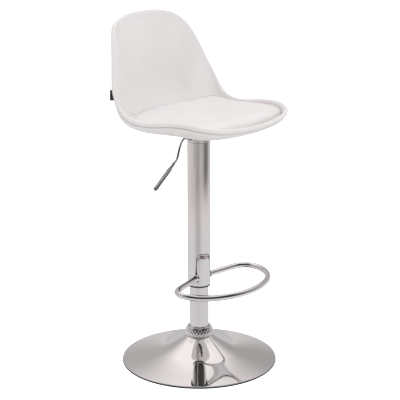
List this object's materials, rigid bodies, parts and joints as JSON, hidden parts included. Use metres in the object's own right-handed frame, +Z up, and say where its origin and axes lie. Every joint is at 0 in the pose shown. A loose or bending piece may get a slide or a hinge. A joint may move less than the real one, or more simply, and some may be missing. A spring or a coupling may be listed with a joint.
{
  "type": "adjustable swivel stool",
  "caption": "Swivelling gas-lift stool with an upholstered bucket seat and low back, a looped footrest, a release lever and a round trumpet base.",
  "frame": {"origin": "on the floor, on the axis of the column, at the middle of the round base", "axes": "+Z up along the column, -Y the way the sitter faces, -X the sitter's right, where the release lever is"},
  "size_m": [0.4201, 0.41, 0.9195],
  "materials": {
    "chrome": "polished chrome plate",
    "satin_steel": "satin plated steel",
    "dark_steel": "black zinc or paint",
    "bearing_steel": "ground steel",
    "black_plastic": "moulded matte",
    "black_rubber": "matte rubber",
    "white_leather": "off-white faux leather, fine grain, soft sheen",
    "label_fabric": "woven, blank"
  },
  "bodies": {
    "base": {"floor_ring": "black_rubber", "base_dish": "chrome", "ballast_plate": "dark_steel", "stand_tube": "chrome", "trim_ring": "chrome", "column_foot": "dark_steel", "bearing_lower_washer": "bearing_steel", "bearing_ball_cage": "bearing_steel", "guide_bush": "black_plastic"},
    "rod": {"piston_rod": "satin_steel", "piston": "dark_steel", "bearing_upper_washer": "bearing_steel", "rod_clip": "dark_steel", "bump_stop": "black_rubber"},
    "seat": {"gas_cylinder": "dark_steel", "rod_guide": "black_plastic", "cover_tube": "chrome", "glide_bush": "black_plastic", "taper_hub": "satin_steel", "footrest": "chrome", "mechanism_ring": "chrome", "lever_bracket": "satin_steel", "lever_pivot_pin": "satin_steel", "seat_plate": "dark_steel", "seat_screw_1": "satin_steel", "seat_screw_2": "satin_steel", "seat_screw_3": "satin_steel", "seat_screw_4": "satin_steel", "inner_upholstery": "white_leather", "seat_shell": "black_plastic", "outer_cover": "white_leather", "edge_welt": "white_leather", "seat_pad": "white_leather", "side_label": "label_fabric"},
    "lever": {"lever_rod": "satin_steel", "lever_ferrule": "satin_steel", "lever_grip": "satin_steel", "lever_end_cap": "satin_steel"},
    "valve": {"release_pin": "satin_steel"}
  },
  "joints": [
    {"name": "seat_swivel", "type": "hinge", "parent": "base", "child": "rod", "pos_m": [0, 0, 0.1], "axis": [0, 0, 1], "continuous": true},
    {"name": "seat_lift", "type": "slide", "parent": "rod", "child": "seat", "axis": [0, 0, 1], "range_m": [0, 0.21]},
    {"name": "lever_pivot", "type": "hinge", "parent": "seat", "child": "lever", "pos_m": [-0.036, 0, 0.613], "axis": [0, 1, 0], "range_deg": [0, 4], "stiffness_Nm_per_rad": 12},
    {"name": "valve_press", "type": "slide", "parent": "seat", "child": "valve", "axis": [0, 0, -1], "range_m": [0, 0.0026], "stiffness_N_per_m": 1000}
  ],
  "couplings": [
    {"joint": "valve_press", "follows": "lever_pivot", "m_per_rad": 0.036}
  ]
}
